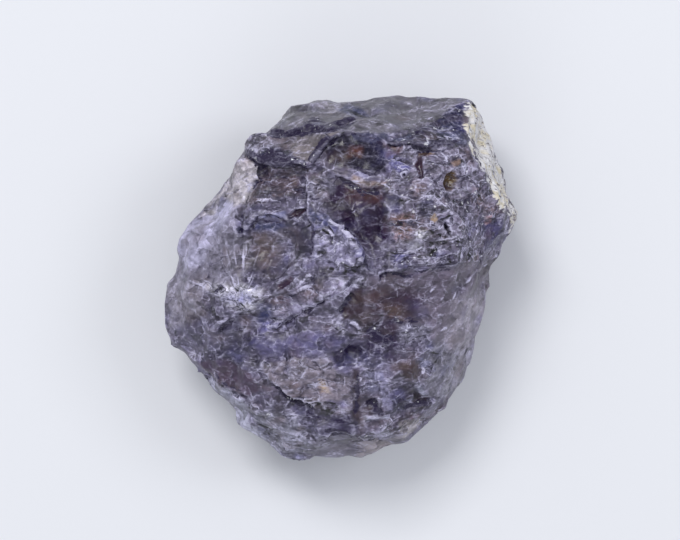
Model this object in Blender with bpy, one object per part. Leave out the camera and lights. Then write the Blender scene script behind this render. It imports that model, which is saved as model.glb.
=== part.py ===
"""A rough iolite crystal, broken on every side, lying on its back with its broad face up.

It is one solid. The broad face is drawn as its own ridges, ledges and hollows, joined by flat
facets. The back is broken off along planes, and all but the resting face is then hackled.
X runs across the broad face, Y runs up it, and Z is the height above the surface it lies on.
"""

from math import cos, radians, sin

import bmesh
import bpy
from mathutils import Vector, geometry, noise

MM = 0.001

# Driving sizes of the crystal, in millimetres
WIDTH = 17.7
LENGTH = 18.4
THICKNESS = 10.4

# All places below are in millimetres too. They are drawn within a few tenths of the driving sizes,
# and the whole crystal is then scaled to those exactly.

# The rim, clockwise from the notch at the upper left: x, y and height
RIM = [
    (-3.70, 7.42, 7.5), (-3.38, 7.76, 6.6), (-2.90, 8.30, 6.0), (-2.41, 8.70, 5.6),
    (-1.60, 8.82, 5.5), (-0.58, 8.98, 5.4), (1.34, 9.14, 5.4), (2.74, 9.26, 5.5),
    (3.89, 9.21, 5.8), (5.16, 9.08, 6.2), (6.38, 8.98, 6.6), (6.82, 8.75, 6.4),
    (7.20, 8.35, 5.8), (7.52, 7.58, 5.2), (7.84, 6.75, 4.9), (8.15, 5.92, 4.8),
    (8.35, 5.15, 4.8), (8.45, 4.40, 4.9), (8.74, 3.95, 5.1), (8.95, 3.37, 5.0),
    (8.90, 2.73, 4.8), (8.67, 2.22, 4.8), (8.35, 1.71, 4.9), (8.16, 1.20, 4.9),
    (7.72, 0.62, 4.8), (7.46, -0.08, 4.6), (7.52, -0.84, 4.4), (7.50, -1.48, 4.4),
    (7.34, -2.24, 4.3), (6.95, -3.00, 4.2), (6.50, -3.77, 4.2), (6.32, -4.41, 4.2),
    (6.12, -5.05, 4.1), (5.80, -5.75, 4.0), (5.29, -6.45, 4.0), (4.65, -6.90, 4.2),
    (4.02, -7.54, 4.3), (3.50, -8.17, 4.2), (2.62, -8.49, 4.0), (1.72, -9.00, 3.8),
    (1.08, -9.13, 3.8), (0.45, -8.98, 3.9), (-0.32, -9.09, 3.9), (-1.34, -9.13, 3.9),
    (-2.50, -8.95, 4.0), (-3.25, -8.68, 4.0), (-3.78, -8.22, 4.1), (-4.93, -7.30, 4.2),
    (-6.00, -6.30, 4.2), (-6.65, -5.72, 4.2), (-7.08, -5.12, 4.2), (-7.44, -4.52, 4.4),
    (-7.86, -3.72, 4.5), (-8.35, -3.24, 4.5), (-8.68, -2.27, 4.4), (-8.78, -1.25, 4.4),
    (-8.65, -0.21, 4.4), (-8.27, 0.35, 4.6), (-8.05, 1.12, 4.8), (-8.20, 1.60, 4.9),
    (-8.05, 2.09, 5.0), (-7.44, 2.85, 5.2), (-6.83, 3.45, 5.4), (-6.41, 4.00, 5.6),
    (-5.98, 4.55, 5.8), (-5.62, 5.21, 6.2), (-5.26, 6.06, 6.8), (-4.90, 6.48, 7.0),
    (-4.59, 7.15, 7.3), (-4.35, 7.36, 7.4),
]

# Ridges and ledges of the broad face: x, y and height
FRONT_LINES = {
    "upper ledge": [
        (-3.70, 7.42, 7.5), (-2.00, 7.30, 8.3), (-0.50, 7.35, 8.8), (0.30, 7.25, 9.1),
        (1.60, 7.45, 9.2), (2.30, 6.85, 9.6), (4.25, 6.70, 9.7), (5.75, 6.65, 9.4),
        (6.50, 7.00, 8.7),
    ],
    "upper right facet": [(3.25, 7.05, 9.3), (4.70, 8.00, 8.2), (6.38, 8.98, 6.6)],
    "crust corner": [(6.38, 8.98, 6.6), (6.50, 7.00, 8.7), (6.85, 6.00, 8.7), (7.35, 5.10, 8.2)],
    "crust foot": [(7.35, 5.10, 8.2), (7.85, 4.10, 7.5), (8.15, 3.20, 6.8), (7.95, 2.10, 6.6)],
    "corner block lip": [
        (-5.26, 6.06, 6.8), (-4.20, 5.85, 8.1), (-3.45, 5.50, 8.9), (-1.40, 5.65, 9.5),
        (-0.55, 6.90, 9.3), (0.30, 7.25, 9.1),
    ],
    "corner block foot": [
        (-3.95, 5.35, 8.0), (-3.50, 5.10, 8.2), (-1.45, 5.30, 8.8), (-0.75, 5.60, 8.9),
    ],
    "shoulder": [(-4.20, 5.85, 8.1), (-3.95, 4.85, 8.3), (-4.65, 3.75, 8.1), (-5.10, 4.60, 7.4)],
    "window lip": [(-0.55, 6.20, 8.9), (0.60, 5.20, 8.9), (2.20, 5.10, 9.3), (2.45, 6.00, 9.5)],
    "massif ridge": [
        (-1.75, 4.25, 9.5), (-0.75, 3.40, 10.0), (0.25, 2.60, 10.4), (0.95, 1.60, 10.6),
        (1.30, 0.60, 10.3), (0.60, 0.10, 10.1),
    ],
    "massif foot": [
        (0.55, 4.60, 9.2), (0.60, 3.60, 9.3), (1.10, 2.70, 9.4), (1.60, 1.60, 9.4),
        (1.75, 0.70, 9.5),
    ],
    "crust plateau": [
        (2.35, 4.90, 9.6), (2.55, 3.60, 9.7), (2.40, 1.80, 9.6), (2.35, 0.40, 10.0),
        (4.00, 0.85, 10.0), (5.75, 0.85, 9.2), (7.20, 0.95, 7.2),
    ],
    "plateau foot": [(2.30, 0.05, 9.5), (4.05, 0.45, 9.4), (5.70, 0.45, 8.6), (7.05, 0.50, 6.6)],
    "dish rim": [
        (-5.10, 2.40, 8.2), (-4.20, 3.15, 8.9), (-2.75, 3.40, 9.3), (-1.95, 2.70, 9.5),
        (-1.80, 1.50, 9.4), (-2.30, 0.60, 9.3), (-3.25, -0.10, 9.1), (-4.50, -0.50, 8.7),
        (-5.40, 0.50, 8.1), (-5.10, 2.40, 8.2),
    ],
    "long ridge": [
        (-6.65, -3.00, 6.7), (-5.40, -2.10, 7.8), (-4.30, -1.10, 8.9), (-2.75, -0.60, 9.4),
        (-1.25, -0.95, 9.8), (-0.10, -0.60, 10.1), (0.60, 0.10, 10.1),
    ],
    "long ridge foot": [
        (-5.70, -3.40, 6.6), (-3.90, -2.10, 8.0), (-2.10, -1.85, 8.8), (-0.30, -1.50, 9.2),
        (0.70, -1.20, 9.3),
    ],
    "lower band": [
        (-6.90, -4.10, 5.9), (-4.50, -3.20, 7.8), (-2.50, -3.20, 8.6), (-0.50, -3.30, 8.9),
        (1.50, -2.90, 9.0), (3.00, -3.10, 8.5),
    ],
    "cavity": [(0.05, -3.95, 8.7), (0.75, -4.30, 8.4), (1.45, -3.85, 8.6), (0.80, -3.55, 8.3)],
    "patch edge": [
        (-5.60, -5.00, 6.2), (-3.70, -4.50, 7.5), (-2.40, -4.20, 8.3), (-2.90, -5.60, 7.6),
        (-1.50, -6.20, 7.6), (0.25, -6.00, 7.9), (0.60, -4.90, 8.4),
    ],
    "right window": [
        (1.80, -1.20, 9.4), (3.30, -1.00, 9.1), (5.00, -0.90, 8.3), (6.40, -0.90, 6.9),
    ],
    "right window foot": [
        (3.00, -3.10, 8.5), (4.60, -2.60, 8.1), (6.10, -2.70, 6.3),
    ],
    "low right ledge": [(1.90, -5.30, 8.2), (3.60, -4.70, 8.0), (5.20, -4.60, 6.3)],
    "low right step": [(2.00, -6.60, 7.4), (3.80, -6.00, 7.0), (5.10, -5.70, 5.5)],
    "left strip": [
        (-7.15, -4.40, 5.5), (-6.25, -5.40, 5.8), (-5.10, -6.10, 6.1), (-3.90, -6.75, 6.5),
        (-2.50, -7.50, 6.7),
    ],
    "bottom arc": [
        (-2.50, -7.50, 6.7), (-1.00, -7.70, 6.8), (0.25, -7.50, 6.9), (1.60, -7.90, 6.3),
        (3.00, -7.60, 5.9), (4.25, -6.75, 5.7), (5.10, -5.70, 5.5),
    ],
    "left rim roll": [(-7.35, 2.20, 6.1), (-7.55, 0.60, 6.0), (-7.90, -1.10, 5.9), (-7.60, -2.60, 5.9)],
}

# The floors of the hollows between those ridges
FRONT_POINTS = [
    (-3.60, 1.50, 8.0), (-6.20, 1.20, 7.2), (-6.30, -1.00, 7.3), (0.80, 6.30, 8.9),
    (4.40, 4.20, 10.0), (6.00, 3.00, 9.4), (-2.60, 4.55, 9.0), (1.60, -4.60, 8.1),
    (4.20, 2.30, 9.8), (-1.00, 0.90, 9.8), (-5.90, 3.20, 7.3), (3.60, 8.10, 7.4),
    (0.50, 8.20, 7.4), (-1.80, 8.00, 7.3), (-4.20, -5.60, 6.7),
]

# The breaks that form the back. Each is a plane that rises outwards from the resting face: the
# direction that it faces and its slope, in degrees, and how far out it starts at the resting face
BACK_BREAKS = [
    (5, 52, 6.3), (50, 48, 8.2), (95, 55, 6.8), (140, 50, 5.0), (180, 42, 4.2),
    (215, 40, 4.6), (262, 38, 5.2), (310, 48, 5.4), (345, 58, 5.3),
]
BLANK_FLOOR = -1.0

# Points closer than this are one point, when the facets are joined and when a break is cut
JOIN_DISTANCE = 1e-5
CUT_DISTANCE = 1e-4

# The longest edge on the front, on the back and on the resting face. Long edges are split first:
# those over FIRST_EDGE, then over EDGE_STEP times that, and so on
FRONT_EDGE = 0.60
BACK_EDGE = 1.00
REST_EDGE = 2.60
FIRST_EDGE = 3.2
EDGE_STEP = 0.72

# The hackle: small tilted facets in two sizes, each with its width and its depth. It fades out
# over REST_FADE above the resting face
HACKLE = [(2.6, 0.17), (1.4, 0.06)]
HACKLE_SEED = Vector((3.1, 7.7, 1.9))
TILT_SEED = 7.3
STEP_SEED = 5.1
REST_FADE = 0.9
RESTS_BELOW = 0.01

COLOUR = (0.115, 0.10, 0.16, 1.0)
ROUGHNESS = 0.35
IOR = 1.54


def clear_scene():
    for thing in list(bpy.data.objects):
        bpy.data.objects.remove(thing)


def key(point):
    return round(point[0], 3), round(point[1], 3)


def front_facets():
    """The flat facets between the rim, the ridge lines and the single points of the broad face."""
    heights = {key(p): p[2] for p in RIM}
    places = [key(p) for p in RIM]
    edges = [(i, (i + 1) % len(RIM)) for i in range(len(RIM))]
    for line in [*FRONT_LINES.values(), *([p] for p in FRONT_POINTS)]:
        for p in line:
            if key(p) not in heights:
                heights[key(p)] = p[2]
                places.append(key(p))
        spots = [places.index(key(p)) for p in line]
        edges += zip(spots, spots[1:])
    inside_the_rim = 1
    made = geometry.delaunay_2d_cdt(
        [Vector(p) for p in places], edges, [list(range(len(RIM)))], inside_the_rim, JOIN_DISTANCE
    )
    new_places, faces, sources = made[0], made[2], made[3]
    if len(new_places) != len(places):
        raise ValueError("two ridge lines cross, or one leaves the rim")
    return [Vector((*places[s[0]], heights[places[s[0]]])) for s in sources], faces


def add_blank(bm):
    """The crystal before its back is broken: the front facets, and a wall straight down all round."""
    corners, faces = front_facets()
    verts = [bm.verts.new(corner) for corner in corners]
    for face in faces:
        a, b, c = (corners[i] for i in face)
        upwards = (b - a).cross(c - a).z > 0
        bm.faces.new([verts[i] for i in (face if upwards else face[::-1])])
    rim = [e for e in bm.edges if e.is_boundary]
    lowered = bmesh.ops.extrude_edge_only(bm, edges=rim)["geom"]
    for vert in lowered:
        if isinstance(vert, bmesh.types.BMVert):
            vert.co.z = BLANK_FLOOR
    bmesh.ops.holes_fill(bm, edges=[e for e in bm.edges if e.is_boundary])
    bmesh.ops.recalc_face_normals(bm, faces=bm.faces)


def break_off(bm, point, outwards):
    """Breaks the crystal off flat beyond a plane."""
    everything = [*bm.verts, *bm.edges, *bm.faces]
    cut = bmesh.ops.bisect_plane(
        bm, geom=everything, dist=CUT_DISTANCE, plane_co=point, plane_no=outwards, clear_outer=True
    )
    edges = [e for e in cut["geom_cut"] if isinstance(e, bmesh.types.BMEdge)]
    bmesh.ops.holes_fill(bm, edges=edges)


def split_large_faces(bm):
    large = [face for face in bm.faces if len(face.verts) > 3]
    bmesh.ops.triangulate(bm, faces=large, quad_method="SHORT_EDGE")


def break_back(bm):
    """Breaks the back off along its planes, the resting face first."""
    break_off(bm, Vector((0, 0, 0)), Vector((0, 0, -1)))
    for direction, slope, distance in BACK_BREAKS:
        turn, tilt = radians(direction), radians(slope)
        out = Vector((cos(turn), sin(turn), 0))
        break_off(bm, out * distance, out * sin(tilt) - Vector((0, 0, cos(tilt))))
    split_large_faces(bm)


def edge_limit(edge):
    """The longest that this edge may be: short on the broad face, long where the crystal rests."""
    heights = [v.co.z for v in edge.verts]
    if max(heights) < RESTS_BELOW:
        return REST_EDGE
    facing = sum((face.normal.z for face in edge.link_faces), 0.0)
    return FRONT_EDGE if facing > 0 else BACK_EDGE


def refine(bm):
    """Splits the long edges first and the shorter ones after, so that the triangles stay even."""
    longest = FIRST_EDGE
    while longest > FRONT_EDGE:
        longest *= EDGE_STEP
        bm.normal_update()
        long_edges = [e for e in bm.edges if e.calc_length() > max(edge_limit(e), longest)]
        if long_edges:
            bmesh.ops.subdivide_edges(bm, edges=long_edges, cuts=1)
            split_large_faces(bm)


def tilted_break(place, size):
    """Height of a small facet: each cell of the hackle is a plane with a tilt and a step of its own."""
    place = place / size
    centre = noise.voronoi(place)[1][0]
    tilt = noise.cell_vector(centre * TILT_SEED) * 2 - Vector((1, 1, 1))
    step = noise.cell(centre * STEP_SEED) - 0.5
    return (place - centre).dot(tilt) + step


def hackle(bm):
    """Roughens the facets with small breaks, and leaves the resting face flat."""
    bm.normal_update()
    moves = []
    for vert in bm.verts:
        fade = min(1.0, max(0.0, vert.co.z / REST_FADE))
        rise = sum(depth * tilted_break(vert.co + HACKLE_SEED, size) for size, depth in HACKLE)
        moves.append(vert.normal * (rise * fade))
    for vert, move in zip(bm.verts, moves):
        vert.co += move


def fit(bm):
    """Brings the crystal to its driving sizes, with its origin under the middle of its box."""
    for vert in bm.verts:
        vert.co.z = max(vert.co.z, 0.0)
    low = Vector(min(v.co[i] for v in bm.verts) for i in range(3))
    high = Vector(max(v.co[i] for v in bm.verts) for i in range(3))
    scale = [size / (high[i] - low[i]) for i, size in enumerate((WIDTH, LENGTH, THICKNESS))]
    middle = Vector(((low.x + high.x) / 2, (low.y + high.y) / 2, low.z))
    for vert in bm.verts:
        vert.co = Vector(a * b for a, b in zip(vert.co - middle, scale)) * MM


def crystal_material():
    material = bpy.data.materials.new("iolite")
    material.use_nodes = True
    shader = material.node_tree.nodes["Principled BSDF"]
    shader.inputs["Base Color"].default_value = COLOUR
    shader.inputs["Roughness"].default_value = ROUGHNESS
    shader.inputs["Metallic"].default_value = 0.0
    shader.inputs["IOR"].default_value = IOR
    return material


def make_crystal():
    bm = bmesh.new()
    add_blank(bm)
    break_back(bm)
    refine(bm)
    hackle(bm)
    fit(bm)
    mesh = bpy.data.meshes.new("iolite_crystal")
    bm.to_mesh(mesh)
    bm.free()
    mesh.materials.append(crystal_material())
    crystal = bpy.data.objects.new("iolite_crystal", mesh)
    bpy.context.scene.collection.objects.link(crystal)
    return crystal


clear_scene()
make_crystal()
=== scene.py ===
"""A rough iolite crystal, broken on every side, lying on its back in soft studio light.

The crystal is one natural piece. Its broken surface is worked out here in full. Its body is
see-through, violet by its own absorption, and it is bruised pale along every broken edge.
Places on the broad face are in millimetres: right, up and above the surface that it lies on.
"""

from itertools import product
from math import cos, radians, sin

import bmesh
import bpy
import numpy as np
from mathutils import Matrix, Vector


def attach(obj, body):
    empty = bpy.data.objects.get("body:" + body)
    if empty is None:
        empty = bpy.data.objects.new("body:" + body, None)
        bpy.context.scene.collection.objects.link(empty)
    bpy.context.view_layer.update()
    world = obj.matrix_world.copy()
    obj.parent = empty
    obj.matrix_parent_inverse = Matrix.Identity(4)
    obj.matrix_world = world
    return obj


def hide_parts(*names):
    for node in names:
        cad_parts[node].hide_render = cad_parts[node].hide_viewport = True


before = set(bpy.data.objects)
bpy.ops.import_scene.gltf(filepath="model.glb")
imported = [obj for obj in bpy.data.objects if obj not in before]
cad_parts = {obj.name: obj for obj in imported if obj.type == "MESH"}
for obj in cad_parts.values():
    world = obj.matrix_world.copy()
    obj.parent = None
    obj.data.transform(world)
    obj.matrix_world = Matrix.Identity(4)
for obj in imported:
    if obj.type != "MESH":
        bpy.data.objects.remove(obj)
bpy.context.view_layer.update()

MM = 0.001


# The stage: a plain pale floor, a pale room and soft lights. The camera looks straight down on the
# broad face, from far enough away that the face keeps its drawn proportions.

FLOOR_SIZE = 0.6
FLOOR_COLOUR = (0.715, 0.73, 0.77, 1.0)
FLOOR_ROUGHNESS = 0.9
ROOM_COLOUR = (0.93, 0.95, 1.0, 1.0)
ROOM_STRENGTH = 0.56
LAMP_WHITE = (1.0, 0.99, 0.98)
LAMP_COOL = (0.97, 0.98, 1.0)
VIEW_WIDTH = 34.0 * MM
VIEW_LENS = 250.0
VIEW_SENSOR = 36.0
VIEW_NEAR = 0.01
VIEW_HEIGHT = 5.0 * MM
VIEW_MIDDLE = (-0.03 * MM, 0.41 * MM)
# Each light: where it is and its width, in metres, its power in watts and its colour
LIGHTS = [
    ((-0.08, 0.15, 0.27), 0.12, 0.53, LAMP_WHITE),
    ((0.18, 0.06, 0.20), 0.10, 0.15, LAMP_COOL),
    ((-0.05, -0.20, 0.16), 0.14, 0.08, LAMP_COOL),
]


def add_floor():
    half = FLOOR_SIZE / 2
    corners = [(-half, -half, 0), (half, -half, 0), (half, half, 0), (-half, half, 0)]
    mesh = bpy.data.meshes.new("floor")
    mesh.from_pydata(corners, [], [(0, 1, 2, 3)])
    material = bpy.data.materials.new("floor_paint")
    material.use_nodes = True
    shader = material.node_tree.nodes["Principled BSDF"]
    shader.inputs["Base Color"].default_value = FLOOR_COLOUR
    shader.inputs["Roughness"].default_value = FLOOR_ROUGHNESS
    mesh.materials.append(material)
    floor = bpy.data.objects.new("floor", mesh)
    bpy.context.scene.collection.objects.link(floor)


def add_room():
    world = bpy.data.worlds.new("room")
    world.use_nodes = True
    sky = world.node_tree.nodes["Background"]
    sky.inputs["Color"].default_value = ROOM_COLOUR
    sky.inputs["Strength"].default_value = ROOM_STRENGTH
    bpy.context.scene.world = world


def add_lights():
    for number, (place, width, power, colour) in enumerate(LIGHTS):
        lamp = bpy.data.lights.new(f"light_{number}", "AREA")
        lamp.size = width
        lamp.energy = power
        lamp.color = colour
        light = bpy.data.objects.new(lamp.name, lamp)
        light.location = place
        light.rotation_euler = Vector(place).to_track_quat("Z", "Y").to_euler()
        bpy.context.scene.collection.objects.link(light)


def add_camera():
    data = bpy.data.cameras.new("camera")
    data.lens = VIEW_LENS
    data.sensor_width = VIEW_SENSOR
    data.clip_start = VIEW_NEAR
    distance = VIEW_WIDTH * VIEW_LENS / VIEW_SENSOR
    camera = bpy.data.objects.new("camera", data)
    camera.location = (*VIEW_MIDDLE, VIEW_HEIGHT + distance)
    bpy.context.scene.collection.objects.link(camera)
    bpy.context.scene.camera = camera


add_floor()
add_room()
add_lights()
add_camera()
bpy.context.scene.view_settings.view_transform = "Standard"


# The crystal: one broken piece of natural iolite, which lies loose on its flattest break. Its surface
# starts as the solid's own facets, split until they are finer than the eye sees at arm's length, and
# eased a little, because no natural edge is a knife edge.

# Where the middle of the solid's box lies among the drawn places
DRAWN_MIDDLE = np.array((0.03, 0.09, 0.0))
# The longest edges left on the broad face and on the back
FACE_EDGE = 0.124
BACK_EDGE = 0.31
# Splitting starts from edges of this length, and each round takes those this much shorter
FIRST_EDGE = 0.62
EDGE_STEP = 0.8
SAME_POINT = 1e-7
FACE_SLANT = 0.1
EASE_ROUNDS = 2
EASE = 0.5
# Points lower than this belong to the break that the crystal lies on
REST_HEIGHT = 0.02
# How far up a normal points where the broad face begins, and over how much it blends in
FACE_FROM = -0.05
FACE_BLEND = 0.3


def split_edges(bm):
    """Splits the long edges first and the shorter ones after, so that the triangles stay even."""
    longest = FIRST_EDGE
    while longest > FACE_EDGE:
        longest = max(longest * EDGE_STEP, FACE_EDGE)
        bm.normal_update()
        face_limit, back_limit = max(longest, FACE_EDGE), max(longest, BACK_EDGE)
        long_edges = []
        for edge in bm.edges:
            on_face = sum(f.normal.z for f in edge.link_faces) > FACE_SLANT
            if edge.calc_length() > (face_limit if on_face else back_limit):
                long_edges.append(edge)
        if long_edges:
            bmesh.ops.subdivide_edges(bm, edges=long_edges, cuts=1)
            large = [f for f in bm.faces if len(f.verts) > 3]
            bmesh.ops.triangulate(bm, faces=large, quad_method="SHORT_EDGE")


def fine_mesh():
    """The solid's facets in millimetres, split fine."""
    bm = bmesh.new()
    bm.from_mesh(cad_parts["iolite_crystal"].data)
    bmesh.ops.remove_doubles(bm, verts=bm.verts, dist=SAME_POINT)
    bmesh.ops.scale(bm, vec=(1 / MM,) * 3, verts=bm.verts)
    split_edges(bm)
    mesh = bpy.data.meshes.new("iolite_crystal_surface")
    bm.to_mesh(mesh)
    bm.free()
    return mesh


surface = fine_mesh()
place = np.zeros(len(surface.vertices) * 3)
surface.vertices.foreach_get("co", place)
place = place.reshape(-1, 3)
edges = np.zeros(len(surface.edges) * 2, np.int64)
surface.edges.foreach_get("vertices", edges)
edges = edges.reshape(-1, 2)
neighbours = np.bincount(edges.ravel(), minlength=len(place))[:, None]


def neighbour_mean(values):
    """The mean of each point's neighbours, column by column."""
    total = np.stack([
        np.bincount(edges[:, 0], values[edges[:, 1], k], len(values))
        + np.bincount(edges[:, 1], values[edges[:, 0], k], len(values))
        for k in range(values.shape[1])
    ], axis=1)
    return total / neighbours


def outward():
    """Each point's direction away from the crystal."""
    surface.vertices.foreach_set("co", place.ravel())
    surface.update()
    out = np.zeros(len(place) * 3, np.float32)
    surface.vertex_normals.foreach_get("vector", out)
    return out.reshape(-1, 3).astype(float)


rests = place[:, 2] < REST_HEIGHT
for _ in range(EASE_ROUNDS):
    eased = place + (neighbour_mean(place) - place) * EASE
    place = np.where(rests[:, None], place, eased)
up = outward()
drawn = place + DRAWN_MIDDLE
on_face = np.clip((up[:, 2] - FACE_FROM) / FACE_BLEND, 0, 1)


# The zones of the broad face: windows, crushed patches, blue faces, the crust. Each is an outline,
# its colour as the eye sees it (0 to 255), how clear it is, how rough, and how soft its border is.
# Three thin rims are painted pale with the backlight that shines through them, and two dark bands
# under steps are painted shade.

WORD = 0xFFFFFFFF
CELL_PRIMES = (73856093, 19349663, 83492791)
SEED_PRIME = 2654435761
TURN_PRIME = 668265263
FIRST_STIR = 0x85EBCA6B
SECOND_STIR = 0xC2B2AE35


def randoms(cells, seed):
    """Three fixed random numbers, from 0 to 1, for each whole-numbered cell."""
    number = seed * SEED_PRIME
    for axis, prime in enumerate(CELL_PRIMES):
        number = number ^ (cells[:, axis] * prime)
    out = []
    for turn in range(3):
        number = (number + turn * TURN_PRIME) & WORD
        number = ((number ^ (number >> 15)) * FIRST_STIR) & WORD
        number = ((number ^ (number >> 13)) * SECOND_STIR) & WORD
        number = number ^ (number >> 16)
        out.append(number / WORD)
    return np.stack(out, axis=1)


def soft_noise(points, seed):
    """Smooth noise from -1 to 1, about one unit across."""
    base = np.floor(points).astype(np.int64)
    part = points - base
    part = part * part * (3 - 2 * part)
    total = np.zeros(len(points))
    for corner in product((0, 1), repeat=3):
        weight = np.prod(np.where(np.array(corner) == 1, part, 1 - part), axis=1)
        total += weight * randoms(base + np.array(corner), seed)[:, 0]
    return total * 2 - 1


def near_line(points, line):
    """For each point: how far the line is, how far along it is (0 to 1), and the side, + on its left."""
    line = np.array(line, float)
    nearest = np.full(len(points), np.inf)
    along_it, side = np.zeros(len(points)), np.zeros(len(points))
    count = len(line) - 1
    for number in range(count):
        start, end = line[number], line[number + 1]
        run = end - start
        offset = points - start
        part = np.clip(offset @ run / (run @ run), 0, 1)
        away = np.hypot(*(offset - part[:, None] * run).T)
        cross = (run[0] * offset[:, 1] - run[1] * offset[:, 0]) / np.hypot(*run)
        nearer = away < nearest
        nearest = np.where(nearer, away, nearest)
        along_it = np.where(nearer, (number + part) / count, along_it)
        side = np.where(nearer, cross, side)
    return nearest, along_it, side


def inside(points, outline, border):
    """1 inside the outline and 0 outside it, with a soft border."""
    away, _, _ = near_line(points, [*outline, outline[0]])
    within = np.zeros(len(points), bool)
    for start, end in zip(outline, [*outline[1:], outline[0]]):
        spans = (start[1] > points[:, 1]) != (end[1] > points[:, 1])
        with np.errstate(divide="ignore", invalid="ignore"):
            crossing = start[0] + (points[:, 1] - start[1]) / (end[1] - start[1]) * (end[0] - start[0])
        within ^= spans & (points[:, 0] < crossing)
    depth = np.where(within, away, -away)
    return np.clip(depth / border + 0.5, 0, 1)


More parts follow.
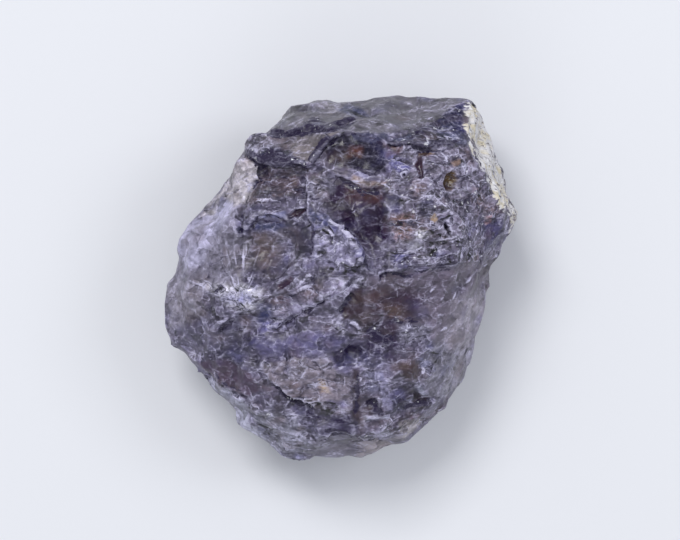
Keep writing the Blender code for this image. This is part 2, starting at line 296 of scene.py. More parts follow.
# name: (outline, colour, clear, rough, border)
ZONES = {
    "upper facet": ([(-3.8, 7.4), (-2.5, 8.8), (0.0, 9.2), (2.8, 9.5), (6.4, 9.1), (5.0, 8.1), (3.5, 7.5),
        (2.3, 7.2), (0.5, 7.4), (-0.5, 7.6), (-2.0, 7.4)], (124, 121, 132), 0.5, 0.34, 0.1),
    # Painted light: this thin corner is painted pale with backlight shining through it
    "upper facet's thin corner in painted backlight": ([(-3.8, 7.4), (-2.5, 8.8), (-2.0, 8.7), (-2.6, 7.6)],
        (156, 154, 162), 0.6, 0.3, 0.2),
    "upper facet's pale rim": ([(-2.0, 8.7), (0.0, 9.2), (0.6, 9.2), (0.4, 8.7), (-0.4, 8.3), (-1.2, 8.5)],
        (150, 146, 156), 0.4, 0.4, 0.4),
    "upper facet's blue stain": ([(0.0, 8.4), (0.35, 8.7), (1.1, 8.5), (1.5, 8.1), (0.75, 8.05)],
        (70, 74, 106), 0.5, 0.4, 0.15),
    # Painted shade: a dark navy band under the triangle's step
    "band in painted shade under the triangle": ([(2.6, 7.0), (4.5, 7.6), (6.3, 7.7), (6.4, 6.7), (2.2, 6.55)],
        (74, 76, 100), 0.4, 0.5, 0.1),
    "blue triangle": ([(6.35, 8.85), (6.45, 7.3), (5.6, 7.15), (4.4, 7.1), (3.5, 7.15), (4.6, 7.9),
        (5.5, 8.45)], (42, 43, 78), 0.3, 0.38, 0.06),
    "corner block": ([(-5.2, 6.2), (-4.4, 7.4), (-3.6, 7.5), (0.0, 7.3), (-0.9, 6.6), (-1.5, 5.8),
        (-4.0, 5.7)], (120, 114, 126), 0.4, 0.5, 0.15),
    "corner block's face": ([(-2.0, 7.1), (0.0, 7.4), (-0.9, 6.6), (-1.5, 5.9), (-2.1, 5.8), (-2.4, 6.5)],
        (150, 142, 146), 0.5, 0.4, 0.2),
    "corner block's left end": ([(-5.1, 6.2), (-4.4, 7.3), (-3.8, 7.3), (-4.0, 6.4), (-4.5, 6.1)],
        (130, 128, 142), 0.4, 0.5, 0.3),
    # Painted shade: the dark navy foot of the corner block, under its step
    "corner block's foot in painted shade": ([(-3.7, 6.5), (-2.9, 6.45), (-2.0, 5.9), (-4.2, 5.8)],
        (58, 60, 82), 0.3, 0.6, 0.3),
    "dark window": ([(-0.65, 6.5), (0.0, 7.1), (1.0, 7.3), (2.2, 6.7), (2.2, 5.2), (1.0, 5.4),
        (-0.5, 5.65)], (43, 33, 52), 0.15, 0.16, 0.15),
    "dark window's blue corner": ([(0.6, 7.35), (2.2, 7.3), (2.6, 7.0), (1.5, 6.7), (0.8, 6.9)],
        (76, 76, 104), 0.5, 0.2, 0.15),
    "dark window's brown heart": ([(0.6, 6.5), (1.1, 6.4), (1.0, 6.05), (0.5, 6.1)],
        (104, 70, 62), 0.3, 0.2, 0.4),
    "window lip": ([(0.6, 5.2), (1.1, 4.9), (1.9, 4.75), (2.4, 4.95), (2.2, 4.5), (1.25, 4.5), (0.5, 4.85)],
        (134, 118, 118), 0.3, 0.5, 0.15),
    "crust": ([(6.3, 8.8), (6.95, 8.9), (7.35, 7.9), (7.85, 6.5), (8.15, 5.25), (8.45, 4.25), (9.2, 3.4),
        (8.6, 3.2), (7.9, 3.75), (7.55, 4.5), (7.15, 5.5), (6.6, 6.5), (6.25, 7.6)],
        (150, 144, 150), 0.1, 0.8, 0.6),
    "crust's thin tip": ([(8.5, 3.6), (9.3, 3.6), (9.2, 2.2), (8.6, 2.2)], (160, 156, 170), 0.3, 0.6, 0.5),
    "pitted plateau": ([(2.4, 6.5), (5.8, 6.6), (6.7, 6.5), (7.3, 5.5), (8.0, 3.8), (8.6, 3.2), (8.2, 1.2),
        (4.5, 0.6), (2.6, 0.6), (2.3, 4.0)], (114, 109, 126), 0.2, 0.7, 0.2),
    "plateau's ochre band": ([(3.9, 6.5), (4.9, 6.5), (4.6, 6.2), (4.0, 6.15)],
        (118, 94, 62), 0.3, 0.5, 0.15),
    "plateau's brown corner": ([(2.2, 6.7), (3.1, 6.6), (3.0, 6.1), (2.3, 6.0)],
        (92, 70, 74), 0.5, 0.4, 0.15),
    "plateau's rusty patch": ([(2.6, 3.1), (3.6, 3.2), (3.6, 2.3), (2.8, 2.0)],
        (126, 100, 98), 0.2, 0.7, 0.4),
    "plateau's dark shoulder": ([(7.0, 3.2), (8.1, 3.0), (8.4, 1.9), (7.3, 1.4), (6.9, 2.2)],
        (74, 70, 104), 0.4, 0.4, 0.3),
    "plateau's dark patch": ([(3.8, 3.8), (4.4, 4.0), (4.9, 3.6), (4.6, 3.1), (3.9, 3.0)],
        (74, 72, 94), 0.3, 0.6, 0.2),
    "plateau's pale oval": ([(3.3, 1.9), (3.8, 2.05), (4.1, 1.7), (3.7, 1.4), (3.3, 1.5)],
        (146, 144, 162), 0.3, 0.5, 0.1),
    "plateau's white flake": ([(3.8, 2.4), (4.2, 2.5), (4.4, 2.2), (4.1, 1.95), (3.8, 2.05)],
        (206, 206, 214), 0.2, 0.6, 0.06),
    "plateau's pink spot": ([(7.1, 3.2), (7.5, 3.3), (7.5, 2.9), (7.2, 2.8)],
        (184, 150, 158), 0.2, 0.5, 0.1),
    "trough": ([(-0.5, 5.1), (0.6, 4.7), (2.25, 4.4), (2.3, 3.2), (2.4, 2.0), (1.6, 1.5), (1.1, 2.0),
        (0.6, 2.5), (-0.2, 3.2), (-0.6, 4.0)], (54, 44, 63), 0.25, 0.2, 0.25),
    "trough's brown top": ([(0.2, 4.6), (2.0, 4.4), (2.1, 3.7), (0.4, 3.9)], (84, 62, 66), 0.35, 0.2, 0.4),
    "trough's blue side": ([(2.2, 4.3), (2.9, 4.2), (2.9, 3.3), (2.2, 3.3)], (76, 72, 108), 0.6, 0.3, 0.3),
    "upper boss": ([(-1.9, 5.1), (-0.5, 5.15), (-0.3, 4.5), (-0.75, 4.0), (-1.5, 4.2)],
        (124, 121, 138), 0.3, 0.6, 0.2),
    "massif": ([(-1.75, 2.9), (-0.75, 2.5), (0.25, 2.4), (0.9, 1.75), (1.3, 0.75), (0.5, 0.25), (-0.5, 0.5),
        (-1.25, 1.25)], (138, 134, 160), 0.3, 0.7, 0.2),
    "massif's blue face": ([(-1.5, 3.5), (-0.75, 3.25), (0.0, 2.6), (-0.75, 2.5), (-1.4, 2.9)],
        (106, 107, 142), 0.4, 0.45, 0.12),
    "brown mottling": ([(-4.0, 5.4), (-2.2, 5.3), (-2.0, 4.2), (-3.6, 3.9), (-4.6, 3.6), (-4.5, 4.6)],
        (104, 92, 100), 0.4, 0.5, 0.3),
    "dish": ([(-4.8, 2.0), (-4.2, 3.0), (-2.6, 3.1), (-2.0, 2.2), (-2.3, 0.7), (-3.4, 0.0), (-4.5, 0.4)],
        (108, 102, 116), 0.4, 0.4, 0.2),
    "dish's brown heart": ([(-4.2, 2.2), (-3.3, 2.0), (-3.1, 1.2), (-3.4, 0.5), (-4.1, 0.9)],
        (110, 96, 98), 0.45, 0.25, 0.7),
    "dish's blue brow": ([(-4.5, 2.4), (-4.1, 2.9), (-3.0, 2.95), (-2.4, 2.7), (-3.2, 2.45), (-4.1, 2.4)],
        (72, 74, 104), 0.4, 0.4, 0.3),
    "dish's pale brow": ([(-4.2, 2.9), (-3.6, 3.3), (-2.6, 3.3), (-2.6, 3.0), (-3.5, 3.05)],
        (132, 132, 166), 0.3, 0.5, 0.1),
    "dark block by the dish": ([(-2.1, 2.6), (-1.6, 2.75), (-1.25, 1.75), (-1.4, 1.1), (-1.85, 0.9),
        (-2.1, 1.5)], (80, 76, 98), 0.6, 0.3, 0.15),
    "left slope": ([(-8.6, 0.0), (-7.9, 1.6), (-6.7, 2.4), (-5.2, 2.9), (-4.8, 2.0), (-4.6, -0.3),
        (-6.5, -0.6), (-8.8, -0.6)], (140, 136, 153), 0.3, 0.36, 0.4),
    # Painted light: the thin left rim is painted pale with backlight shining through it
    "left upper rim in painted backlight": ([(-8.3, 1.5), (-8.0, 2.5), (-6.7, 3.2), (-5.6, 4.2), (-5.0, 3.6), (-6.1, 2.3),
        (-6.9, 0.9), (-7.8, 0.5)], (198, 195, 222), 0.3, 0.3, 0.35),
    "left lower rim": ([(-8.8, 0.0), (-7.0, -0.2), (-6.7, -2.0), (-7.4, -3.0), (-8.6, -2.6)],
        (146, 142, 156), 0.3, 0.38, 0.4),
    # Painted light: the shoulder is painted pale with backlight shining through it
    "shoulder window in painted backlight": ([(-5.0, 6.1), (-3.9, 5.6), (-4.1, 4.9), (-4.65, 3.8), (-5.1, 3.7), (-5.9, 4.2),
        (-6.25, 3.3), (-7.0, 3.1), (-6.2, 4.2), (-5.6, 5.2)], (204, 198, 206), 0.3, 0.45, 0.2),
    "crushed streak": ([(-6.9, -0.2), (-5.2, -0.2), (-3.9, -0.4), (-3.9, -1.1), (-4.6, -1.6), (-5.6, -1.2)],
        (212, 210, 224), 0.1, 0.75, 0.35),
    "blue spot": ([(-4.05, -1.3), (-3.6, -1.2), (-3.4, -1.7), (-3.7, -2.1), (-4.0, -1.9)],
        (84, 88, 128), 0.4, 0.4, 0.35),
    "left low slope": ([(-8.5, -2.4), (-6.8, -1.8), (-5.8, -2.3), (-6.7, -3.4), (-7.8, -3.6)],
        (108, 104, 128), 0.4, 0.45, 0.4),
    "upper dark facet": ([(-5.9, -2.4), (-5.0, -1.9), (-4.7, -2.75), (-4.25, -3.25), (-4.5, -3.8),
        (-5.75, -3.85), (-6.8, -3.5)], (94, 91, 111), 0.4, 0.38, 0.1),
    "lower dark facet": ([(-7.1, -4.1), (-5.75, -3.95), (-4.5, -4.5), (-3.9, -5.5), (-4.75, -5.85),
        (-6.25, -5.15)], (92, 80, 98), 0.4, 0.3, 0.1),
    "violet band": ([(-4.5, -3.0), (-2.75, -2.9), (-0.5, -2.5), (0.6, -2.9), (-0.25, -3.5), (-2.0, -3.8),
        (-3.9, -3.8)], (103, 99, 132), 0.3, 0.34, 0.45),
    "pale ridge": ([(-4.0, -2.4), (-2.6, -1.2), (-0.6, -0.5), (0.4, -0.1), (0.4, -0.7), (-0.9, -1.1),
        (-2.0, -1.7), (-2.9, -2.3)], (148, 143, 168), 0.2, 0.65, 0.2),
    "grey patch": ([(-3.5, -4.9), (-3.9, -4.1), (-2.0, -3.85), (-0.5, -3.9), (0.6, -4.5), (0.5, -6.75),
        (-1.25, -6.4), (-2.5, -5.75)], (129, 122, 134), 0.2, 0.5, 0.12),
    "cream spot": ([(-1.05, -4.9), (-0.7, -4.9), (-0.5, -5.55), (-0.85, -5.5)],
        (182, 166, 154), 0.1, 0.5, 0.2),
    "brown stripe": ([(0.6, -4.4), (0.95, -4.4), (1.0, -7.0), (0.6, -6.9)], (76, 66, 78), 0.6, 0.3, 0.15),
    "bottom facet": ([(-2.0, -8.2), (-1.2, -8.0), (-0.25, -7.7), (0.5, -7.7), (1.5, -8.1), (3.0, -7.8),
        (4.0, -7.9), (2.6, -8.8), (0.2, -9.3), (-1.5, -9.2)], (126, 122, 138), 0.4, 0.4, 0.15),
    "bottom facet's warm end": ([(1.0, -8.2), (3.0, -7.9), (2.5, -8.8), (0.8, -9.1)],
        (162, 154, 160), 0.4, 0.4, 0.4),
    "left strip": ([(-7.4, -4.5), (-6.2, -5.3), (-4.8, -5.95), (-4.5, -7.2), (-3.6, -7.9), (-3.9, -8.3),
        (-6.3, -6.6)], (184, 184, 204), 0.25, 0.4, 0.2),
    "low left": ([(-4.5, -6.4), (-2.0, -6.8), (-1.4, -8.0), (-2.0, -9.2), (-3.6, -8.5)],
        (146, 145, 162), 0.35, 0.6, 0.35),
    "low middle": ([(-2.0, -6.1), (0.5, -6.75), (0.6, -7.6), (-1.2, -7.9), (-2.0, -7.0)],
        (98, 94, 117), 0.4, 0.45, 0.3),
    "right window": ([(1.3, 0.2), (4.5, 0.5), (7.75, 0.9), (7.4, -1.0), (7.1, -2.5), (6.0, -3.5),
        (5.0, -3.2), (4.0, -2.7), (2.75, -2.5), (1.1, -2.1)], (118, 110, 126), 0.4, 0.3, 0.4),
    "right window's brown end": ([(1.3, -0.4), (3.6, -0.4), (4.2, -1.0), (3.4, -1.9), (1.3, -2.0)],
        (70, 58, 72), 0.35, 0.25, 0.6),
    "right window's olive": ([(2.2, -1.2), (3.2, -1.3), (3.1, -1.9), (2.3, -1.9)],
        (96, 82, 80), 0.35, 0.25, 0.6),
    "right window's light end": ([(5.6, -1.0), (7.4, -0.5), (7.2, -2.7), (6.1, -3.6), (5.1, -3.5),
        (5.4, -2.2)], (164, 158, 172), 0.3, 0.3, 0.6),
    "dark triangle": ([(0.0, -1.5), (0.5, -0.6), (1.1, -0.2), (1.2, -1.9), (0.3, -2.0)],
        (70, 56, 68), 0.55, 0.2, 0.12),
    "lower right facet": ([(4.5, -3.2), (6.75, -3.3), (6.25, -5.2), (5.5, -5.9), (4.5, -5.75), (4.2, -4.5)],
        (154, 151, 168), 0.3, 0.4, 0.3),
    "brown dip": ([(2.75, -4.1), (3.9, -4.1), (4.0, -4.9), (3.25, -4.9)], (88, 72, 76), 0.6, 0.35, 0.2),
    "dark foot": ([(3.2, -5.3), (4.2, -5.5), (4.3, -6.3), (3.1, -6.3)], (62, 54, 64), 0.6, 0.35, 0.3),
    "violet hollow": ([(1.0, -2.1), (2.8, -1.9), (2.9, -3.3), (2.4, -3.8), (1.3, -3.6)],
        (58, 50, 74), 0.4, 0.34, 0.3),
    "mottled ledge": ([(2.8, -2.1), (4.5, -2.2), (4.5, -3.2), (3.0, -3.1)], (122, 119, 137), 0.2, 0.6, 0.3),
    "cavity": ([(-0.4, -3.6), (0.4, -3.3), (1.3, -3.3), (1.25, -3.9), (0.5, -4.3), (-0.1, -4.4)],
        (64, 58, 84), 0.6, 0.3, 0.12),
    "pale tongue": ([(3.0, -7.05), (4.4, -6.9), (3.8, -7.4), (3.2, -8.0), (2.9, -7.5)],
        (160, 155, 160), 0.3, 0.5, 0.12),
    "lavender fins": ([(1.1, -4.6), (2.0, -4.5), (2.3, -5.6), (1.9, -5.9), (1.5, -5.6)],
        (128, 126, 154), 0.3, 0.55, 0.15),
    "fins' pale plane": ([(1.95, -4.9), (2.35, -4.9), (2.6, -6.4), (2.1, -6.6)],
        (158, 154, 184), 0.3, 0.45, 0.08),
    "fins' dark foot": ([(1.35, -5.8), (1.8, -6.0), (2.0, -6.7), (1.4, -6.7)],
        (44, 44, 62), 0.4, 0.35, 0.1),
    "white bar": ([(1.15, -6.65), (1.9, -6.75), (2.5, -6.65), (2.4, -6.9), (1.2, -6.95)],
        (178, 180, 202), 0.2, 0.5, 0.08),
    "dark plane by the bar": ([(2.55, -5.95), (3.2, -5.8), (3.35, -6.45), (2.6, -6.5)],
        (56, 54, 76), 0.4, 0.4, 0.1),
    "pale flake by the foot": ([(3.2, -5.95), (3.55, -5.9), (3.75, -6.5), (3.3, -6.6)],
        (154, 152, 176), 0.3, 0.5, 0.08),
    "brown foot": ([(3.8, -5.75), (4.4, -5.7), (4.45, -6.35), (3.85, -6.5)], (52, 43, 52), 0.4, 0.35, 0.12),
    "bright flakes": ([(3.6, -5.1), (4.0, -5.15), (4.45, -5.6), (4.1, -5.7), (3.7, -5.4)],
        (160, 160, 180), 0.2, 0.6, 0.08),
    "blue flakes": ([(4.0, -3.9), (4.5, -4.0), (4.75, -4.5), (4.4, -4.8), (4.1, -4.4)],
        (148, 148, 178), 0.2, 0.6, 0.1),
    "violet low facet": ([(-0.1, -6.95), (0.9, -7.0), (0.95, -7.6), (0.0, -7.6)],
        (72, 66, 94), 0.4, 0.35, 0.15),
    "arm of the low hollow": ([(2.2, -3.6), (3.0, -3.7), (3.0, -4.2), (2.3, -4.1)],
        (84, 76, 100), 0.4, 0.4, 0.2),
}
# Between the zones: the colour, how clear and how rough
BODY_COLOUR = (110, 105, 126)
BODY_CLEAR = 0.35
BODY_ROUGH = 0.5
# How far the zones' borders stray from their own points, by the size of their bends
BORDER_BENDS = [(0.9, 0.10), (0.35, 0.06), (0.14, 0.03)]
BORDER_SEED = 31
# The polish of broken faces lays a grey veil over the colour beneath, so that colour is deeper
VEIL = 0.018
DEEPER = 1.08
RICHER = 1.16
DARKEST = 0.004
# From the numbers of a screen to amounts of light
SCREEN_FOOT = 0.055
SCREEN_POWER = 2.4


def seen(colour):
    """The colour of the stone, from how the eye sees it, 0 to 255, through the veil of its polish."""
    light = ((np.array(colour) / 255 + SCREEN_FOOT) / (1 + SCREEN_FOOT)) ** SCREEN_POWER
    light = light.mean() + (light - light.mean()) * RICHER
    return np.maximum((light - VEIL) * DEEPER, DARKEST)


def strayed(bends, seed):
    """The places on the broad face, each moved a little to and fro by bends of several sizes."""
    moved = drawn[:, :2].copy()
    for size, amount in bends:
        moved += np.stack([soft_noise(drawn / size, seed + k) for k in range(2)], axis=1) * amount
    return moved


flat = strayed(BORDER_BENDS, BORDER_SEED)
tint = np.tile(seen(BODY_COLOUR), (len(place), 1))
clear = np.full(len(place), BODY_CLEAR)
rough = np.full(len(place), BODY_ROUGH)
zone_share = {}
for name, (outline, colour, clearness, roughness, border) in ZONES.items():
    share = inside(flat, outline, border) * on_face
    zone_share[name] = share
    tint += (seen(colour) - tint) * share[:, None]
    clear += (clearness - clear) * share
    rough += (roughness - rough) * share


# The fracture. Iolite breaks in flake scars: shallow bowls that meet in sharp ridges, large ones
# cut by smaller ones, drawn out along the grain of the crystal. Clear windows broke smoothly.

# The grain's direction on the broad face, in degrees
GRAIN = 38
# Each size of scar: its width, how many times longer it is, and its depth
SCARS = [(1.9, 1.5, 0.13), (0.85, 1.7, 0.12), (0.42, 1.6, 0.075)]
# How hollow a scar is, how much it leans, and how much higher one may be than the next
SCAR_BOWL = 0.8
SCAR_LEAN = 0.7
SCAR_STEP = 0.6
LEAN_SEED = 101
STEP_SEED = 202
# Scars are deepest in rough places, and shallower on the back
SCAR_PER_ROUGH = 1.5
SCAR_ON_BACK = 0.45
# The grain wanders in bends of this size
BEND_SIZE = 1.7
BEND_REACH = 0.45
BEND_SEED = 11


def scars(points, seed):
    """Height of flake scars about one unit across."""
    base = np.floor(points).astype(np.int64)
    lowest = np.full(len(points), np.inf)
    for corner in product((-1, 0, 1), repeat=3):
        cell = base + np.array(corner)
        away = points - (cell + randoms(cell, seed))
        lean = randoms(cell, seed + LEAN_SEED) * 2 - 1
        step = randoms(cell, seed + STEP_SEED)[:, 0]
        bowl = (away ** 2).sum(1) * SCAR_BOWL
        lowest = np.minimum(lowest, step * SCAR_STEP + (away * lean).sum(1) * SCAR_LEAN + bowl)
    return lowest


def along(points, angle, stretch):
    """The points in a frame turned to a grain direction in degrees, drawn out along it."""
    cosine, sine = cos(radians(angle)), sin(radians(angle))
    lengthwise = points[:, 0] * cosine + points[:, 1] * sine
    across = points[:, 1] * cosine - points[:, 0] * sine
    return np.stack([lengthwise / stretch, across, points[:, 2]], axis=1)


bend = np.stack([soft_noise(drawn / BEND_SIZE, BEND_SEED + k) for k in range(3)], axis=1) * BEND_REACH
scar_share = np.clip(rough * SCAR_PER_ROUGH, 0, 1) * (SCAR_ON_BACK + (1 - SCAR_ON_BACK) * on_face)
height = np.zeros(len(place))
for seed, (size, stretch, depth) in enumerate(SCARS):
    scar = scars(along(drawn + bend, GRAIN, stretch) / size, seed)
    height += (scar - scar.mean()) * depth * scar_share


# Ledges and cracks, each drawn as a line. The ground is higher on the line's left. Each has its
# points, its rise, how far the rise reaches, and how pale its edge is bruised.

LEDGES = {
    "under the upper facet": ([(-3.7, 7.35), (-2.5, 7.35), (-2.0, 7.5), (-0.65, 7.55), (0.25, 7.8),
        (1.0, 7.95)], 0.25, 0.4, 0.2),
    "corner block's side": ([(-1.5, 5.7), (-1.1, 6.2), (-0.65, 6.75), (-0.3, 7.0), (0.3, 7.25)],
        0.5, 0.45, 0.4),
    "corner block's foot": ([(-4.75, 6.15), (-4.15, 5.9), (-3.75, 5.7), (-3.0, 5.65), (-2.15, 5.65),
        (-1.5, 5.6)], 0.5, 0.5, 0.2),
    "over the plateau": ([(2.2, 6.5), (2.6, 6.65), (3.0, 6.65), (4.0, 6.6), (5.0, 6.6), (5.75, 6.7)],
        0.4, 0.35, 0.2),
    "triangle's brow": ([(2.2, 6.7), (2.75, 7.1), (3.5, 7.5), (4.5, 8.0), (5.5, 8.4), (6.3, 8.75)],
        0.15, 0.3, 0.5),
    "window lip": ([(-0.3, 5.25), (0.25, 5.0), (0.8, 4.7), (1.4, 4.5), (2.0, 4.6)], 0.3, 0.35, 0.5),
    "massif's edge": ([(1.4, 0.9), (1.1, 1.5), (0.9, 2.0), (0.6, 2.3), (0.0, 2.7), (-0.7, 3.25),
        (-1.2, 3.7)], 0.45, 0.5, 1.0),
    "trough's first crack": ([(0.75, 4.25), (0.65, 3.75), (0.6, 3.3)], 0.08, 0.15, 0.8),
    "trough's second crack": ([(-0.3, 4.35), (-0.25, 4.0), (-0.35, 3.65)], 0.08, 0.15, 0.8),
    "massif's back": ([(-1.9, 4.85), (-1.7, 4.5), (-1.5, 4.15), (-1.55, 3.5), (-1.5, 3.1), (-1.4, 2.6)],
        0.25, 0.3, 0.8),
    "massif's middle": ([(-0.25, 2.2), (-0.5, 2.45), (-1.1, 2.7), (-1.5, 2.9)], 0.15, 0.2, 0.9),
    "dish's brow": ([(-4.6, 2.25), (-4.4, 2.7), (-4.1, 3.05), (-3.7, 3.25), (-3.25, 3.3), (-2.85, 3.15),
        (-2.6, 2.9)], 0.35, 0.4, 0.6),
    "dish's ripple": ([(-3.6, 2.35), (-3.4, 2.1), (-3.0, 2.05), (-2.6, 2.2), (-2.3, 2.5)], 0.08, 0.2, 0.8),
    "dish's nick": ([(-4.55, 1.65), (-4.45, 1.35), (-4.2, 1.2)], 0.08, 0.15, 0.8),
    "dish's right": ([(-2.2, 2.25), (-2.3, 1.75), (-2.35, 1.1)], 0.15, 0.2, 0.5),
    "dish's low rim": ([(-2.45, 0.85), (-2.65, 0.5), (-3.0, 0.15), (-3.5, -0.05)], 0.2, 0.3, 0.8),
    "first splinter": ([(-2.0, -0.25), (-1.6, 0.1), (-1.35, 0.35)], 0.2, 0.2, 1.1),
    "second splinter": ([(-2.6, -0.65), (-2.15, -0.65), (-1.75, -0.4), (-1.25, -0.2)], 0.2, 0.2, 1.1),
    "dark facet's brow": ([(-6.2, -2.75), (-5.8, -2.3), (-5.4, -1.95), (-5.0, -1.55)], 0.35, 0.35, 0.9),
    "over the blue spot": ([(-4.15, -1.4), (-3.85, -1.2), (-3.4, -1.05)], 0.2, 0.2, 0.7),
    "long ridge's edge": ([(-3.75, -2.35), (-3.25, -2.3), (-2.75, -2.05), (-2.35, -1.7), (-2.0, -1.45),
        (-1.4, -1.35), (-1.0, -1.1), (-0.75, -0.85)], 0.4, 0.35, 0.9),
    "dark triangle's edge": ([(-0.25, -1.6), (0.0, -1.3), (0.25, -0.85), (0.5, -0.55)], 0.4, 0.3, 0.7),
    "hook": ([(0.2, -2.05), (0.5, -2.2), (0.85, -2.2), (1.0, -2.35), (0.95, -3.0)], 0.15, 0.15, 1.0),
    "cavity's rim": ([(1.4, -3.55), (1.3, -3.9), (1.1, -4.2), (0.6, -4.25), (0.25, -4.35), (-0.2, -4.45)],
        0.12, 0.2, 1.2),
    "patch's foot": ([(-3.5, -5.0), (-3.0, -5.35), (-2.5, -5.75), (-2.0, -6.1), (-1.25, -6.4)],
        0.5, 0.4, 0.5),
    "patch's top": ([(-0.4, -3.9), (-1.25, -3.75), (-2.0, -3.85), (-3.0, -3.95), (-3.9, -3.9)],
        0.12, 0.2, 0.4),
    "patch's arc": ([(-1.4, -3.9), (-1.1, -4.15), (-0.9, -4.55), (-1.0, -5.0)], 0.15, 0.25, 0.6),
    "fin's edge": ([(1.05, -5.2), (1.3, -5.0), (1.45, -4.85)], 0.12, 0.15, 1.2),
    "fin's crack": ([(1.85, -4.6), (1.9, -5.25), (2.0, -5.75)], 0.12, 0.15, 0.5),
    "white bar": ([(1.15, -6.85), (1.5, -6.85), (1.9, -6.9)], 0.15, 0.15, 1.5),
    "bottom arc": ([(-1.2, -8.0), (-0.75, -7.8), (-0.25, -7.65), (0.25, -7.65), (0.75, -7.75), (1.1, -7.95),
        (1.5, -8.05), (2.0, -7.95), (2.5, -7.85)], 0.35, 0.3, 0.0),
    "left strip's edge": ([(-6.7, -4.7), (-6.5, -4.85), (-6.0, -5.25), (-5.5, -5.55), (-4.85, -5.85),
        (-4.5, -6.0)], 0.3, 0.3, 0.1),
    "between dark facets": ([(-6.75, -3.5), (-6.25, -3.75), (-5.75, -3.85), (-5.25, -4.1)], 0.15, 0.2, 0.3),
    "dark facet's scratch": ([(-5.15, -3.15), (-4.85, -3.5), (-4.6, -3.9)], 0.06, 0.1, 0.8),
    "window's white streak": ([(5.45, -1.15), (5.65, -0.8), (5.95, -0.4), (6.25, 0.1)], 0.03, 0.1, 0.9),
    "window's long streak": ([(5.9, -0.5), (6.5, 0.2), (7.0, 0.55), (7.5, 0.9)], 0.15, 0.2, 0.9),
    "window's upper streak": ([(4.2, -0.9), (4.9, -0.35), (5.6, 0.15), (6.3, 0.55)], 0.03, 0.1, 0.7),
    "window's right streak": ([(6.2, -2.3), (6.6, -1.7), (7.1, -1.2)], 0.03, 0.1, 0.7),
    "window's low streak": ([(4.6, -3.15), (5.0, -2.75), (5.3, -2.45), (5.6, -2.15), (5.9, -1.8)],
        0.08, 0.15, 0.9),
    "window's arc": ([(4.5, -1.9), (4.8, -1.75), (5.25, -1.7)], 0.08, 0.15, 0.5),
    "window's brow": ([(1.75, 0.15), (2.15, 0.35), (2.75, 0.35), (3.15, 0.3)], 0.3, 0.25, 0.8),
    "window's eye": ([(1.8, -0.15), (2.1, -0.35), (2.5, -0.25), (2.8, 0.05)], 0.1, 0.15, 0.6),
    "small facet's edge": ([(3.25, 1.6), (2.85, 1.3), (2.65, 0.9), (2.7, 0.5)], 0.15, 0.2, 0.7),
    "short flake": ([(3.25, 1.25), (3.4, 0.9), (3.5, 0.6)], 0.12, 0.15, 1.0),
    "low right flake": ([(4.0, -3.8), (4.1, -4.25), (4.2, -4.75)], 0.15, 0.2, 0.9),
    "foot flake": ([(3.7, -5.1), (3.9, -5.4), (4.0, -5.55)], 0.15, 0.2, 1.0),
    "pale tongue's edge": ([(3.0, -7.05), (3.5, -7.0), (4.0, -7.0), (4.4, -6.9)], 0.25, 0.25, 0.5),
    "low right rim": ([(4.25, -6.1), (4.65, -5.85), (5.25, -5.85)], 0.2, 0.2, 0.4),
    "shoulder's edge": ([(-4.75, 3.75), (-4.55, 4.25), (-4.4, 4.75), (-4.0, 5.1), (-3.9, 5.6)],
        0.3, 0.3, 0.7),
    "left rim's step": ([(-7.5, 2.6), (-7.0, 2.45), (-6.6, 2.4)], 0.15, 0.2, 0.3),
    "left rim's streak": ([(-7.85, 0.25), (-7.5, 0.45), (-7.1, 0.75), (-6.75, 0.9)], 0.1, 0.15, 0.7),
    "slope's first stripe": ([(-5.65, 0.9), (-5.5, 0.25), (-5.2, -0.4), (-5.0, -0.65)], 0.08, 0.15, 0.8),
    "slope's second stripe": ([(-4.9, 1.25), (-4.7, 0.6), (-4.6, -0.15)], 0.08, 0.15, 0.9),
    "slope's third stripe": ([(-4.05, 0.9), (-4.05, 0.25), (-4.15, -0.15)], 0.06, 0.12, 0.7),
    "brown mottling's line": ([(-3.9, 3.85), (-3.4, 4.0), (-3.0, 4.1), (-2.6, 4.15)], 0.15, 0.2, 0.8),
    "white splinter": ([(-2.25, 2.7), (-1.85, 2.9), (-1.5, 3.05)], 0.15, 0.2, 1.1),
}
EDGE_SHARPNESS = 0.08
# How the rise is shared: a low lip on the high side, the rest a drop on the low side
LIP = 0.15
DROP = 0.85
BRUISE_WIDTH = 0.10
SHADOW_WIDTH = 0.13
SHADOW_PER_RISE = 1.6
SHADOW_MOST = 0.6
# The bruise is broken into bits of this size
BIT_SIZE = 0.4
BIT_CONTRAST = 1.1
BIT_SEED = 81
# How far a drawn line strays from its own points, by the size of its bends
LINE_BENDS = [(0.8, 0.14), (0.33, 0.08), (0.16, 0.04)]
LINE_SEED = 71


def tapered(part, steepness, least):
    """1 along a line, less towards both of its ends."""
    return np.clip(np.minimum(part, 1 - part) * steepness + least, 0, 1)


near = strayed(LINE_BENDS, LINE_SEED)
broken = np.clip(0.5 + soft_noise(drawn / BIT_SIZE, BIT_SEED) * BIT_CONTRAST, 0, 1)
bruise = np.zeros(len(place))
shadow = np.zeros(len(place))
for line, rise, reach, pale in LEDGES.values():
    away, part, side = near_line(near, line)
    share = tapered(part, 7, 0.15) * on_face
    below = np.clip(0.5 - side / EDGE_SHARPNESS / 2, 0, 1)
    lip = LIP * np.exp(-away / reach / 2) * (1 - below)
    drop = DROP * np.exp(-away / reach) * below
    height += rise * share * (lip - drop)
    high_side = np.exp(-((side - BRUISE_WIDTH / 2) / BRUISE_WIDTH) ** 2) * (away < 4 * BRUISE_WIDTH)
    # The low side of each step is darkened by a painted shadow, deeper for a higher rise
    low_side = np.exp(-((side + SHADOW_WIDTH) / SHADOW_WIDTH) ** 2) * (away < 4 * SHADOW_WIDTH)
    bruise = np.maximum(bruise, high_side * pale * broken * share)
    shadow = np.maximum(shadow, low_side * min(rise * SHADOW_PER_RISE, SHADOW_MOST) * share)
